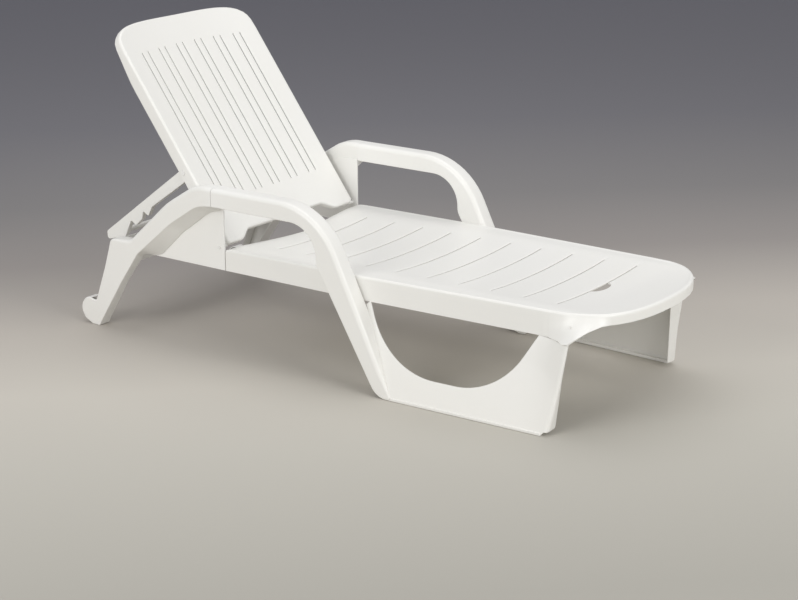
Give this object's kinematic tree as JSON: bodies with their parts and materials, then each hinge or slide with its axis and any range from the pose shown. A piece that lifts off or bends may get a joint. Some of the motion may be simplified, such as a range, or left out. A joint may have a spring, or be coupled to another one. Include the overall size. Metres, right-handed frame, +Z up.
{
  "type": "reclining sun lounger",
  "caption": "White moulded-plastic reclining sun lounger with sledge front sides, arched armrests, rear legs with small wheels and a slatted backrest held by a notched prop.",
  "frame": {"origin": "on the ground, in the middle of the lounger's outer box", "axes": "+X towards the foot end, +Y to the left of a person lying on it, +Z up"},
  "size_m": [1.8877, 0.776, 0.9368],
  "materials": {
    "white_plastic": "satin",
    "pin_plastic": "satin",
    "wheel_plastic": "satin",
    "axle_steel": "satin"
  },
  "bodies": {
    "frame": {"seat_deck": "white_plastic", "foot_panel": "white_plastic", "seat_rail_left": "white_plastic", "seat_rail_right": "white_plastic", "arm_front_left": "white_plastic", "arm_front_right": "white_plastic", "sledge_side_left": "white_plastic", "sledge_side_right": "white_plastic", "rear_leg_left": "white_plastic", "rear_leg_right": "white_plastic", "rear_side_panel_left": "white_plastic", "rear_side_panel_right": "white_plastic", "arm_peg_left": "pin_plastic", "arm_peg_right": "pin_plastic", "rail_joint_plate_left": "white_plastic", "rail_joint_plate_right": "white_plastic", "backrest_pin_left": "pin_plastic", "backrest_pin_right": "pin_plastic", "wheel_axle_left": "axle_steel", "wheel_axle_right": "axle_steel", "rear_cross_beam": "white_plastic"},
    "backrest": {"backrest": "white_plastic", "prop_pin_left": "pin_plastic", "prop_pin_right": "pin_plastic"},
    "prop": {"prop_frame": "white_plastic"},
    "wheel_left": {"wheel_left": "wheel_plastic"},
    "wheel_right": {"wheel_right": "wheel_plastic"}
  },
  "joints": [
    {"name": "recline", "type": "hinge", "parent": "frame", "child": "backrest", "pos_m": [-0.392, 0, 0.325], "axis": [0, -1, 0], "range_deg": [0, 53.5]},
    {"name": "prop_swing", "type": "hinge", "parent": "backrest", "child": "prop", "pos_m": [-0.5479, 0, 0.5256], "axis": [0, 1, 0], "range_deg": [0, 87]},
    {"name": "wheel_left_spin", "type": "hinge", "parent": "frame", "child": "wheel_left", "pos_m": [-0.904, 0.3495, 0.042], "axis": [0, 1, 0], "continuous": true},
    {"name": "wheel_right_spin", "type": "hinge", "parent": "frame", "child": "wheel_right", "pos_m": [-0.904, -0.3495, 0.042], "axis": [0, 1, 0], "continuous": true}
  ],
  "couplings": [
    {"joint": "prop_swing", "follows": "recline", "ratio": 1.617}
  ]
}
